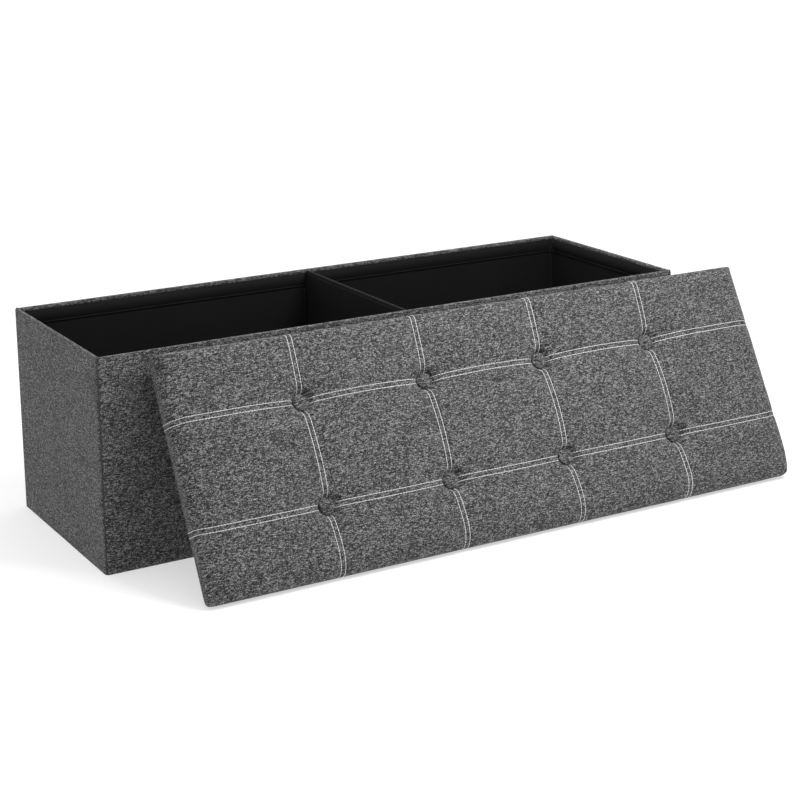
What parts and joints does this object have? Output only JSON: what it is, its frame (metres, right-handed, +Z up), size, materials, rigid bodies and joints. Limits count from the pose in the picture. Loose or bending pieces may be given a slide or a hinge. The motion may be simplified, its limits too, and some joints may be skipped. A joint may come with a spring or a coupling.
{
  "type": "storage ottoman",
  "caption": "Long folding storage ottoman in charcoal woven cloth: an open box with a divider and hinged base boards, and a loose tufted lid leaning on its front.",
  "frame": {"origin": "middle of the box's underside, on the floor", "axes": "X along the box's length, the front faces -Y, +Z up; the lid leans on the front"},
  "size_m": [1.176, 0.5938, 0.3489],
  "materials": {
    "upholstery": "matte",
    "lining": "matte",
    "board": "matte",
    "foam": "matte",
    "thread": "matte",
    "steel": "satin"
  },
  "bodies": {
    "box": {"bottom_cloth": "lining", "front_board": "board", "back_board": "board", "left_end_board_front": "board", "left_end_board_rear": "board", "right_end_board_front": "board", "right_end_board_rear": "board", "front_cover": "upholstery", "back_cover": "upholstery", "left_cover": "upholstery", "right_cover": "upholstery", "front_lining": "lining", "back_lining": "lining", "left_lining": "lining", "right_lining": "lining", "front_hem": "lining", "back_hem": "lining", "left_hem": "lining", "right_hem": "lining", "corner_seams": "lining", "divider_guides": "lining", "left_cloth_hinge": "lining", "right_cloth_hinge": "lining"},
    "divider": {"divider_board": "board", "divider_wrap": "lining"},
    "left_base": {"left_base_board": "board", "left_base_wrap": "lining", "left_pull_tab": "upholstery"},
    "right_base": {"right_base_board": "board", "right_base_wrap": "lining", "right_pull_tab": "upholstery"},
    "lid": {"lid_board": "board", "lid_foam": "foam", "lid_cover": "upholstery", "lid_underside_cloth": "lining", "lid_staples": "steel", "strip_front_left": "lining", "strip_front_right": "lining", "strip_back_left": "lining", "strip_back_right": "lining", "strip_end_left": "lining", "strip_end_right": "lining", "tufting_cords": "thread", "tufting_washers": "steel", "button_lower_1": "upholstery", "button_lower_2": "upholstery", "button_lower_3": "upholstery", "button_lower_4": "upholstery", "button_upper_1": "upholstery", "button_upper_2": "upholstery", "button_upper_3": "upholstery", "button_upper_4": "upholstery"}
  },
  "joints": [
    {"name": "lid_lift", "type": "slide", "parent": "box", "child": "lid", "axis": [0, 0, 1], "range_m": [0, 0.45]},
    {"name": "divider_lift", "type": "slide", "parent": "box", "child": "divider", "axis": [0, 0, 1], "range_m": [0, 0.36]},
    {"name": "left_base_board_hinge", "type": "hinge", "parent": "box", "child": "left_base", "pos_m": [-0.2, 0.175, 0.0081], "axis": [-1, 0, 0], "range_deg": [0, 88]},
    {"name": "right_base_board_hinge", "type": "hinge", "parent": "box", "child": "right_base", "pos_m": [0.2, 0.175, 0.0081], "axis": [-1, 0, 0], "range_deg": [0, 88]}
  ]
}
